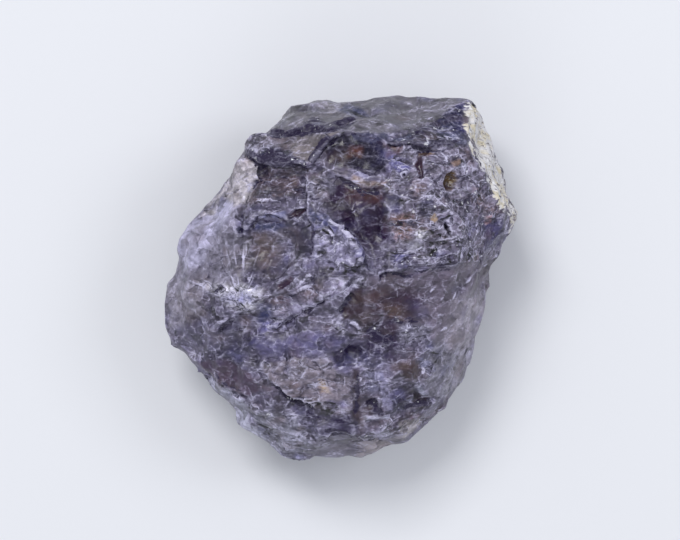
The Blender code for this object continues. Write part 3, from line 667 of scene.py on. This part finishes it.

# Painted shade: dark navy bands at the foot of steps, under ledges and in hollows, laid into the same
# shadow mask as the ledges' shade. Each has its points, its half width and how dark it is
SHADE_BANDS = {
    "under the upper facet": ([(-3.9, 7.3), (-2.6, 7.2), (-1.6, 7.45), (-0.7, 7.5), (0.2, 7.75),
        (1.1, 7.95)], 0.26, 1.0),
    "over the upper band": ([(-1.95, 7.7), (-1.3, 7.9), (-0.6, 7.95)], 0.1, 0.7),
    "block's foot": ([(-4.75, 6.35), (-4.1, 5.95), (-3.5, 6.0), (-2.7, 5.85), (-2.1, 5.7), (-1.6, 5.65)],
        0.3, 1.05),
    "in the block's foot": ([(-3.7, 6.4), (-3.3, 6.1), (-2.6, 6.1)], 0.22, 0.8),
    "block's side": ([(-1.55, 5.8), (-1.1, 6.3), (-0.7, 6.75), (-0.1, 7.05)], 0.27, 1.05),
    "window's top": ([(0.3, 7.2), (1.0, 6.95), (1.8, 6.8), (2.2, 6.5)], 0.12, 0.6),
    "window's foot": ([(0.8, 5.6), (1.4, 5.25), (2.1, 5.35)], 0.2, 0.8),
    "under the lip": ([(0.3, 4.7), (1.2, 4.25), (2.0, 4.3)], 0.2, 0.6),
    "over the plateau": ([(2.2, 6.6), (3.0, 6.75), (4.0, 6.75), (5.0, 6.7), (6.0, 6.9)], 0.13, 0.85),
    "across the blue band": ([(3.2, 7.0), (4.0, 7.3), (5.0, 7.3), (6.0, 7.6)], 0.12, 0.6),
    "in the triangle": ([(4.6, 7.6), (5.4, 7.95), (6.2, 8.2)], 0.3, 0.5),
    "trough's foot": ([(1.6, 1.5), (2.1, 2.3)], 0.3, 0.5),
    "massif's shade": ([(-1.5, 3.1), (-1.35, 2.2), (-1.4, 1.2)], 0.15, 0.6),
    "dish's brow": ([(-4.3, 2.75), (-3.7, 2.85), (-3.0, 2.8), (-2.6, 2.6)], 0.12, 0.5),
    "left of the dish": ([(-4.9, 3.4), (-4.75, 2.6), (-4.85, 1.8)], 0.12, 0.5),
    "upper dark facet": ([(-5.9, -2.6), (-5.2, -2.2), (-4.8, -2.9), (-4.6, -3.6)], 0.25, 0.45),
    "under the long ridge": ([(-3.7, -2.55), (-2.9, -2.45), (-2.2, -1.85), (-1.5, -1.65), (-0.9, -1.3)],
        0.2, 0.45),
    "over the long ridge": ([(-3.3, -0.9), (-2.5, -0.75), (-1.8, -0.3), (-1.1, -0.05), (-0.5, 0.3)],
        0.25, 0.45),
    "under the patch": ([(-3.4, -5.2), (-2.6, -5.85), (-2.0, -6.3), (-1.2, -6.6)], 0.2, 0.65),
    "right of the patch": ([(0.8, -4.4), (0.85, -5.5), (0.8, -6.8)], 0.14, 0.7),
    "cavity": ([(-0.2, -4.2), (0.0, -3.6), (0.6, -3.4), (1.1, -3.6)], 0.18, 0.7),
    "by the fins": ([(1.3, -5.9), (1.7, -6.4), (2.2, -6.7)], 0.2, 0.7),
    "dark foot": ([(2.9, -5.9), (3.6, -6.2), (4.4, -6.2)], 0.22, 0.7),
    "over the bottom arc": ([(-1.0, -7.5), (0.2, -7.45), (0.9, -7.65), (1.8, -7.9)], 0.13, 0.65),
    "left strip's shade": ([(-6.4, -4.7), (-5.6, -5.3), (-4.8, -5.7)], 0.13, 0.6),
    "plateau's shoulder": ([(7.3, 2.6), (7.7, 2.2), (7.6, 1.6)], 0.25, 0.5),
    "window's upper edge": ([(1.5, -0.05), (2.2, 0.25), (3.0, 0.15), (3.7, 0.3), (4.8, 0.55), (6.0, 0.6)],
        0.16, 0.55),
    "across the window": ([(2.0, -1.6), (3.0, -2.0), (4.0, -2.0)], 0.25, 0.5),
    "violet hollow": ([(1.3, -2.4), (2.0, -2.9), (2.8, -3.0)], 0.4, 0.6),
    "over the triangle": ([(3.3, 7.25), (4.5, 7.8), (5.5, 8.25), (6.3, 8.6)], 0.12, 0.6),
    "right edge of the plateau": ([(6.6, 6.6), (7.1, 5.6), (7.6, 4.6), (8.0, 3.7)], 0.1, 0.5),
    "low middle": ([(-1.9, -6.7), (-1.0, -6.9), (0.0, -7.0), (0.6, -6.9)], 0.18, 0.6),
    "by the upper boss": ([(-2.1, 5.0), (-1.9, 4.4), (-1.7, 3.9)], 0.15, 0.5),
    "under the boss": ([(-1.6, 4.1), (-0.9, 3.9), (-0.4, 4.1)], 0.15, 0.5),
    "slope's first shade": ([(-6.0, 1.8), (-5.8, 0.9), (-5.5, 0.0)], 0.1, 0.45),
    "slope's second shade": ([(-5.2, 1.9), (-5.0, 1.0), (-4.85, 0.2)], 0.1, 0.45),
}
for line, width, depth in SHADE_BANDS.values():
    away, part, _ = near_line(near, line)
    band = np.exp(-((away / width) ** 2)) * tapered(part, 8, 0.2)
    shadow = np.maximum(shadow, band * depth * on_face)

# A fan of pale rays spreads from the crushed streak on the left, between two directions in degrees.
# Here is how strong it is
FAN_FOOT = np.array((-4.9, -1.1))
FAN_FIRST = 25
FAN_LAST = 175
FAN_SIDE_FADE = 15
FAN_REACH = 3.9
FAN_END_FADE = 1.6
FAN_FOOT_FADE = 0.5
FAN_FOOT_LEAST = 0.2
spoke = near - FAN_FOOT
far = np.hypot(*spoke.T)
bearing = np.degrees(np.arctan2(spoke[:, 1], spoke[:, 0]))
fan = np.clip((bearing - FAN_FIRST) / FAN_SIDE_FADE, 0, 1)
fan *= np.clip((FAN_LAST - bearing) / FAN_SIDE_FADE, 0, 1)
fan *= np.clip((FAN_REACH - far) / FAN_END_FADE, 0, 1)
fan *= np.clip(far / FAN_FOOT_FADE, FAN_FOOT_LEAST, 1) * on_face

# The crust stands in uneven ribs, which run nearly straight up the face
RIB_ANGLE = 98
RIB_STRETCH = 5
RIB_WIDTH = 0.22
RIB_RISE = 0.10
RIB_SEED = 95
crust = np.maximum(zone_share["crust"], zone_share["crust's thin tip"])
height += crust * soft_noise(along(drawn, RIB_ANGLE, RIB_STRETCH) / RIB_WIDTH, RIB_SEED) * RIB_RISE

# Pits: where each is, its half width and half height, its turn in degrees, its depth and colour. The
# dark colours in the holes, the slot's end and the crack are painted shade inside them
PITS = {
    "yellow pit": ((5.5, 4.9), 0.25, 0.45, -8, 0.35, (96, 78, 44)),
    "slot": ((3.95, 5.65), 0.14, 0.6, 4, 0.3, (88, 70, 76)),
    "slot's end": ((4.0, 5.1), 0.12, 0.12, 0, 0.3, (40, 30, 38)),
    "crack": ((5.35, 2.5), 0.09, 0.33, 28, 0.5, (40, 28, 34)),
    "pinhole": ((3.2, 5.2), 0.07, 0.09, 0, 0.3, (34, 28, 36)),
    "low pinhole": ((7.05, 1.05), 0.06, 0.07, 0, 0.3, (30, 24, 30)),
    "window's pinhole": ((4.25, 0.9), 0.06, 0.06, 0, 0.2, (40, 34, 42)),
    "left hole": ((-4.9, 2.55), 0.15, 0.17, 0, 0.25, (52, 54, 76)),
    "brown pocket": ((-2.0, 3.35), 0.4, 0.16, 22, 0.25, (70, 57, 62)),
    "low hole": ((1.6, -6.15), 0.3, 0.26, 30, 0.22, (52, 52, 68)),
    "foot hole": ((4.0, -6.05), 0.4, 0.16, 15, 0.2, (60, 48, 58)),
    "dish's pocket": ((-2.65, -0.15), 0.34, 0.16, 25, 0.14, (78, 62, 74)),
    "ochre blob": ((5.75, 5.85), 0.18, 0.14, 0, -0.1, (132, 112, 104)),
    "ochre bead": ((4.65, 3.05), 0.16, 0.14, 0, -0.08, (150, 130, 110)),
}
PIT_BORDER = 1.45
PIT_ROUGH = 0.08
PIT_CLEAR = 0.1
for (x, y), half_width, half_height, turn, depth, colour in PITS.values():
    cosine, sine = cos(radians(turn)), sin(radians(turn))
    across = ((near[:, 0] - x) * cosine + (near[:, 1] - y) * sine) / half_width
    upwards = ((near[:, 1] - y) * cosine - (near[:, 0] - x) * sine) / half_height
    hollow = np.clip(PIT_BORDER - np.hypot(across, upwards), 0, 1)
    hollow = hollow * hollow * (3 - 2 * hollow)
    height -= depth * hollow * on_face
    share = np.clip(hollow * 2, 0, 1) * on_face
    tint += (seen(colour) - tint) * share[:, None]
    rough += (PIT_ROUGH - rough) * share
    clear += (PIT_CLEAR - clear) * share

# Glints: white painted as highlights where small flakes would catch the light. Each has its place and
# half width
GLINT_BORDER = 1.3
GLINTS = [
    ((5.0, 7.55), 0.16), ((4.75, 7.5), 0.12), ((3.6, 7.25), 0.13), ((4.25, 6.8), 0.12), ((2.75, 6.9), 0.12),
    ((3.05, 6.95), 0.12), ((-4.2, 6.0), 0.1), ((3.9, 2.35), 0.2), ((4.75, 3.65), 0.09), ((4.8, 3.45), 0.09),
    ((7.25, 3.15), 0.16), ((7.1, 2.75), 0.1), ((7.35, -1.7), 0.16), ((-6.95, -2.3), 0.08),
    ((-5.25, 0.7), 0.08), ((-2.05, 1.8), 0.08), ((-6.75, -1.3), 0.1), ((0.75, -4.1), 0.13),
    ((-3.6, -6.7), 0.12), ((1.5, 7.15), 0.09), ((-0.5, 6.6), 0.08), ((4.45, 5.85), 0.1), ((7.05, 1.2), 0.1),
    ((-4.35, 5.0), 0.12), ((-4.6, 4.2), 0.1), ((1.9, -2.55), 0.1), ((3.3, -2.5), 0.13), ((2.2, 5.0), 0.1),
    ((2.35, 4.9), 0.1),
]
glint = np.zeros(len(place))
for (x, y), half_width in GLINTS:
    away = np.hypot(near[:, 0] - x, near[:, 1] - y)
    glint = np.maximum(glint, np.clip(GLINT_BORDER - away / half_width, 0, 1) * on_face)

# The relief fades out towards the break that the crystal lies on, which stays flat
RELIEF_FADE = 0.8
fade = np.clip(place[:, 2] / RELIEF_FADE, 0, 1)
place = place + up * (height * fade)[:, None]
place[:, 2] = np.where(rests, 0.0, np.maximum(place[:, 2], 0.0))

# Sharp edges and dents, found from how far each point stands out from its neighbours. The dents are
# darkened later as painted shade
STANDS_OUT = 0.004
EDGE_RANGE = 0.012
DENT_RANGE = 0.014
OWN_SHARE = 0.6
up = outward()
ridge = ((place - neighbour_mean(place)) * up).sum(1)
ridge = ridge * OWN_SHARE + neighbour_mean(ridge[:, None])[:, 0] * (1 - OWN_SHARE)
edge_mask = np.clip((ridge - STANDS_OUT) / EDGE_RANGE, 0, 1)
dent_shade_mask = np.clip((-ridge - STANDS_OUT) / DENT_RANGE, 0, 1)

# The material reads these layers: a colour, and three masks in each of the others
layers = {
    "tint": tint,
    "substance": np.stack([clear, rough, crust], axis=1),
    "bruise_shadow_glint": np.stack([bruise, shadow, glint], axis=1),
    "shape": np.stack([edge_mask, dent_shade_mask, fan], axis=1),
}
for name, values in layers.items():
    layer = surface.attributes.new(name, "FLOAT_COLOR", "POINT")
    colours = np.hstack([values, np.ones((len(values), 1))]).astype(np.float32)
    layer.data.foreach_set("color", colours.ravel())

surface.vertices.foreach_set("co", (place * MM).ravel())
surface.update()
surface.shade_smooth()
crystal = bpy.data.objects.new("iolite_crystal_surface", surface)
bpy.context.scene.collection.objects.link(crystal)


# The crystal's substance: clear violet iolite, which takes its colour from its own absorption, and over
# it a skin of crushed stone, thin in the windows and thick where the face is bruised or crusted and
# where glints and shade are painted.

# Colours, in amounts of light
BROWN_CAST = (0.13, 0.075, 0.065, 1)
BLUE_CAST = (0.070, 0.070, 0.27, 1)
# Navy for painted shade and for the dark hairline cracks
SHADE_AND_CRACK_NAVY = (0.014, 0.008, 0.036, 1)
BRUISE_PALE = (0.56, 0.54, 0.73, 1)
CRUST_WHITE = (0.72, 0.71, 0.74, 1)
CRUST_CREAM = (0.67, 0.61, 0.48, 1)
CRUST_GAP = (0.11, 0.09, 0.12, 1)
# White for the painted glints
GLINT_WHITE = (0.90, 0.91, 0.97, 1)
GLASS_PALE = (0.95, 0.94, 0.98, 1)
BODY_VIOLET = (0.50, 0.42, 0.70, 1)
# Absorption per metre of stone, and how much iolite bends and reflects light
BODY_DENSITY = 180.0
IOLITE_IOR = 1.54
GLASS_SHINE = 0.35
SKIN_SHINE = 0.28
RELIEF_DEPTH = 0.0001
# Repeats per metre of each size of flake and of each size of mottling
PLATE_SCALE = 1150.0
FLAKE_SCALE = 2500.0
CHIP_SCALE = 5200.0
HUE_SCALE = 620.0
MOTTLE_SCALE = 1600.0
STREAK_SCALE = 5000.0
FINE_SCALE = 7000.0
# Flakes stray from their places by about this much, in bends that repeat at this scale
FLAKE_STRAY = 0.00028
FLAKE_STRAY_SCALE = 1800.0
# Growth lines in the clear parts, and the fibres of the crust, run nearly straight up the face
GROWTH_ANGLE = 97
GROWTH_SCALE = 3000.0
FIBRE_SCALE = 5200.0
STRAND_SCALE = 2600.0
# Rays of the fan: how often they come round, and how often they change along their length
RAY_SCALE = 11.0
RAY_CHANGE = 40


class Link:
    """A node's output. Sums and products of links add their own Math nodes."""

    def __init__(self, tree, socket):
        self.tree, self.socket = tree, socket

    def maths(self, operation, first, second=0.0):
        return add_node(self.tree, "ShaderNodeMath", {"operation": operation}, {0: first, 1: second})

    def __add__(self, other):
        return self.maths("ADD", self, other)

    def __sub__(self, other):
        return self.maths("SUBTRACT", self, other)

    def __rsub__(self, other):
        return self.maths("SUBTRACT", other, self)

    def __mul__(self, other):
        return self.maths("MULTIPLY", self, other)

    def size(self):
        return self.maths("ABSOLUTE", self)

    def clamped(self):
        return add_node(self.tree, "ShaderNodeClamp", {}, {"Value": self})

    def past(self, steepness, start):
        """0 below a level, 1 above it, and a ramp between that is as steep as the first number."""
        return (self * steepness - start).clamped()

    __radd__ = __add__
    __rmul__ = __mul__


def add_node(tree, kind, settings, inputs, output=0):
    node = tree.nodes.new(kind)
    for name, value in settings.items():
        setattr(node, name, value)
    for name, value in inputs.items():
        if isinstance(value, Link):
            tree.links.new(value.socket, node.inputs[name])
        else:
            node.inputs[name].default_value = value
    return Link(tree, node.outputs[output])


def crystal_material():
    material = bpy.data.materials.new("iolite")
    material.use_nodes = True
    tree = material.node_tree
    tree.nodes.clear()

    def layer(name):
        return add_node(tree, "ShaderNodeAttribute", {"attribute_name": name}, {}, "Color")

    def parts(colour):
        node = add_node(tree, "ShaderNodeSeparateColor", {}, {"Color": colour}).socket.node
        return [Link(tree, output) for output in node.outputs]

    def noise(where, scale, detail=3.0, output="Fac"):
        inputs = {"Vector": where, "Scale": scale, "Detail": detail, "Roughness": 0.6}
        return add_node(tree, "ShaderNodeTexNoise", {}, inputs, output)

    def cells(where, scale, feature, output):
        inputs = {"Vector": where, "Scale": scale}
        return add_node(tree, "ShaderNodeTexVoronoi", {"feature": feature}, inputs, output)

    def stretched(where, angle, scale):
        inputs = {"Vector": where, "Rotation": (0, 0, radians(-angle)), "Scale": scale}
        return add_node(tree, "ShaderNodeMapping", {}, inputs)

    def vector(operation, first, second):
        return add_node(tree, "ShaderNodeVectorMath", {"operation": operation}, {0: first, 1: second})

    def mixed(factor, first, second, blend="MIX"):
        settings = {"data_type": "RGBA", "blend_type": blend, "clamp_factor": True}
        return add_node(tree, "ShaderNodeMix", settings, {0: factor, 6: first, 7: second}, 2)

    def grey(amount):
        return add_node(tree, "ShaderNodeCombineColor", {}, {0: amount, 1: amount, 2: amount})

    clear, rough, crust = parts(layer("substance"))
    bruise, shadow, glint = parts(layer("bruise_shadow_glint"))
    edge, dent_shade, fan = parts(layer("shape"))
    tint = layer("tint")

    def flakes(where, scale):
        """Flat flakes: how far the edge is, how the flake leans, and two numbers of its own."""
        colour = cells(where, scale, "F1", "Color")
        middle = Link(tree, colour.socket.node.outputs["Position"])
        lean = vector("SUBTRACT", colour, (0.5, 0.5, 0.5))
        offset = vector("SUBTRACT", where, middle)
        inputs = {0: offset, 1: lean}
        slope = add_node(tree, "ShaderNodeVectorMath", {"operation": "DOT_PRODUCT"}, inputs, "Value") * scale
        shade, pick, _ = parts(colour)
        return cells(where, scale, "DISTANCE_TO_EDGE", "Distance"), slope, shade, pick

    # Flakes of three sizes, in places that stray so that no two are alike
    where = add_node(tree, "ShaderNodeTexCoord", {}, {}, "Object")
    stray = vector("MULTIPLY", noise(where, FLAKE_STRAY_SCALE, 2.0, "Color"), (FLAKE_STRAY,) * 3)
    bent = vector("ADD", where, stray)
    grained = stretched(bent, GRAIN, (0.45, 1, 1))
    plate, plate_slope, plate_shade, plate_pick = flakes(grained, PLATE_SCALE)
    flake, flake_slope, flake_shade, flake_pick = flakes(grained, FLAKE_SCALE)
    chip, chip_slope, chip_shade, chip_pick = flakes(bent, CHIP_SCALE)
    mottle = noise(where, MOTTLE_SCALE, 4.0)
    fine = noise(where, FINE_SCALE, 2.0)
    streaks = noise(stretched(bent, GRAIN, (0.2, 1, 1)), STREAK_SCALE)
    hue = noise(where, HUE_SCALE, 2.0)

    def hairs(where, scale, sharpness):
        """Thin wandering lines, where a noise crosses its middle."""
        return (1 - (noise(where, scale, 2.0) - 0.5).size() * sharpness).clamped()

    # Hairline cracks, pale or dark, the lines between flakes, and shaded wedges beside some broad flakes,
    # which are painted shade, each broken up by another pattern
    long_hair = hairs(grained, 2100.0, 22) * fine.past(4, 1.6)
    pale_hair = long_hair + hairs(bent, 3400.0, 18) * mottle.past(6, 3.0)
    dark_hair = hairs(stretched(bent, 105, (0.5, 1, 1)), 2700.0, 13) * streaks.past(4, 1.5)
    ragged_edge = streaks.past(7, 2.9)
    plate_line = (1 - plate * 20).clamped() * plate_pick.past(4, 1.3) * ragged_edge * 1.4
    shaded_wedge = (1 - plate * 6).clamped() * (1.1 - plate_pick * 2.6).clamped() * ragged_edge
    flake_line = (1 - flake * 10).clamped() * mottle.past(8, 3.8) * flake_pick.past(3, 0.7) * 1.4
    chip_line = (1 - chip * 6).clamped() * streaks.past(6, 3.2)

    # Pale splinters along the bruised edges and in the rays of the fan; painted shade in the bands at the
    # foot of steps, with the dark rays of the fan
    foot = (FAN_FOOT - DRAWN_MIDDLE[:2]) * MM
    ray_x, ray_y, _ = parts(vector("SUBTRACT", where, (*foot, 0)))
    ray_bearing = ray_y.maths("ARCTAN2", ray_y, ray_x)
    ray_place = {0: ray_bearing, 1: ray_x * RAY_CHANGE, 2: ray_y * RAY_CHANGE}
    ray = noise(add_node(tree, "ShaderNodeCombineXYZ", {}, ray_place), RAY_SCALE)
    splinters = (bruise * (streaks * 3 + chip_shade + pale_hair) - 0.9).clamped()
    splinters = splinters + ray.past(9, 4.9) * fan * mottle.past(5, 1.8)
    shade_and_dark_rays = ((shadow * 1.6 + streaks * 1.5 - 1.4) * 4).clamped()
    shade_and_dark_rays = shade_and_dark_rays + (3.3 - ray * 9).clamped() * fan * 0.3

    # Painted highlights: white painted on small flakes as glints, at the drawn glints and here and there
    # in crushed stone and in the shade bands
    speck_glint = chip_pick.past(10, 8.4) * chip.past(7, 1.2) * fine.past(8, 3.6)
    glare = (glint * 1.6 * chip_shade - 0.4).clamped() * fine.past(8, 3.4)
    glare = glare + speck_glint * ((rough - 0.4).clamped() * 2.0 + shade_and_dark_rays * 0.9)

    # The tone of each flake: its lean makes it lighter on one side and darker on the other, and its own
    # number lighter or darker as a whole, which is painted shading of flakes turned to the light at
    # different angles; mottling and streaks add the stone's own tone. Straight growth lines run up and
    # down through the clear parts
    growth = noise(stretched(where, GROWTH_ANGLE, (0.12, 1, 1)), GROWTH_SCALE)
    broad = plate_slope * 1.1 + (plate_shade - 0.5) * 0.5 + (mottle - 0.5) * 0.7
    grit = flake_slope * 1.6 + (flake_shade - 0.5) * 0.9 + (streaks - 0.5) * 1.5
    grit = grit + ((chip_shade - 0.5) * 1.8 + (fine - 0.5) * 2.4) * rough
    value = 0.90 + broad * (0.3 + rough) + rough * grit + (1 - rough) * (growth - 0.5) * 0.9
    shaded = mixed(hue.past(6, 3.2) * (0.15 + rough * 0.8), tint, BROWN_CAST)
    shaded = mixed((2.6 - hue * 6).clamped() * (0.1 + rough * 0.9), shaded, BLUE_CAST)
    shaded = mixed(1.0, shaded, grey(value), "MULTIPLY")

    # Painted shade: dark gaps on one side of flake edges, shaded wedges, the shade bands and the dents;
    # with them the dark hairline cracks, which are real, all laid in navy
    flake_shade_and_cracks = rough * (0.3 - flake).clamped() * (1.4 - flake_pick * 3).clamped() * 3
    flake_shade_and_cracks = flake_shade_and_cracks + dark_hair * (0.1 + rough)
    dark = shade_and_dark_rays + dent_shade * 0.6 + flake_shade_and_cracks + shaded_wedge * rough.past(1.5, 0.1)
    shaded = mixed(dark.clamped(), shaded, SHADE_AND_CRACK_NAVY)

    # Pale bruises on sharp edges, on the lines between flakes and on hairline cracks
    lift = edge * streaks.past(3, 1.1) * rough.past(1.8, 0.1) + splinters
    lift = lift + plate_line * (0.05 + rough * 0.75)
    lift = lift + flake_line * rough * 1.1 + chip_line * rough * 0.6 + pale_hair * rough * 0.8
    shaded = mixed((lift * (0.85 - shade_and_dark_rays * 0.5)).clamped(), shaded, BRUISE_PALE)

    # The crust is fibrous, cream in places, with dark gaps between its fibres and a ragged border
    fibre = noise(stretched(bent, 98, (0.2, 1, 1)), FIBRE_SCALE)
    strand = noise(stretched(bent, 96, (0.15, 1, 1)), STRAND_SCALE)
    cream = mixed(strand.past(6, 2.9), CRUST_WHITE, CRUST_CREAM)
    cream = mixed((4.7 - fibre * 10.5).clamped() * 0.85, cream, CRUST_GAP)
    torn = (fibre + mottle - 1) * 5 * (crust * 4).clamped()
    ragged = ((crust * 2.2 + torn - 0.7) * 2).clamped()
    shaded = mixed(ragged, shaded, cream)
    shaded = mixed(glare.clamped(), shaded, GLINT_WHITE)

    # Skin covers the clear stone, less where it is clear, more where it is bruised, at painted glints and
    # in the painted shade bands
    cover = (1.05 - clear * 0.85 + lift * 0.6 + glare + shade_and_dark_rays * 0.4 + (mottle - 0.5) * 0.4).clamped()
    relief = plate_slope * 2.4 + flake_slope * 1.5 + chip_slope * 0.5 + streaks * 0.3 + mottle * 0.4
    bump = add_node(tree, "ShaderNodeBump", {}, {
        "Strength": 1.0,
        "Distance": RELIEF_DEPTH,
        "Height": relief * rough.past(1.2, 0.08) + fibre * crust * 2.0,
    })
    glass = add_node(tree, "ShaderNodeBsdfPrincipled", {}, {
        "Base Color": mixed(0.35, GLASS_PALE, tint),
        "Roughness": (rough * 0.4 + 0.26).clamped(),
        "IOR": IOLITE_IOR,
        "Specular IOR Level": GLASS_SHINE,
        "Transmission Weight": 1.0,
        "Normal": bump,
    })
    skin = add_node(tree, "ShaderNodeBsdfPrincipled", {}, {
        "Base Color": shaded,
        "Roughness": (rough * 0.42 + 0.19).clamped(),
        "IOR": IOLITE_IOR,
        "Specular IOR Level": SKIN_SHINE,
        "Normal": bump,
    })
    both = add_node(tree, "ShaderNodeMixShader", {}, {0: cover, 1: glass, 2: skin})
    absorbed = {"Color": BODY_VIOLET, "Density": BODY_DENSITY}
    body = add_node(tree, "ShaderNodeVolumeAbsorption", {}, absorbed)
    out = tree.nodes.new("ShaderNodeOutputMaterial")
    tree.links.new(both.socket, out.inputs["Surface"])
    tree.links.new(body.socket, out.inputs["Volume"])
    return material


surface.materials.append(crystal_material())
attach(crystal, "root")
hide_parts("iolite_crystal")
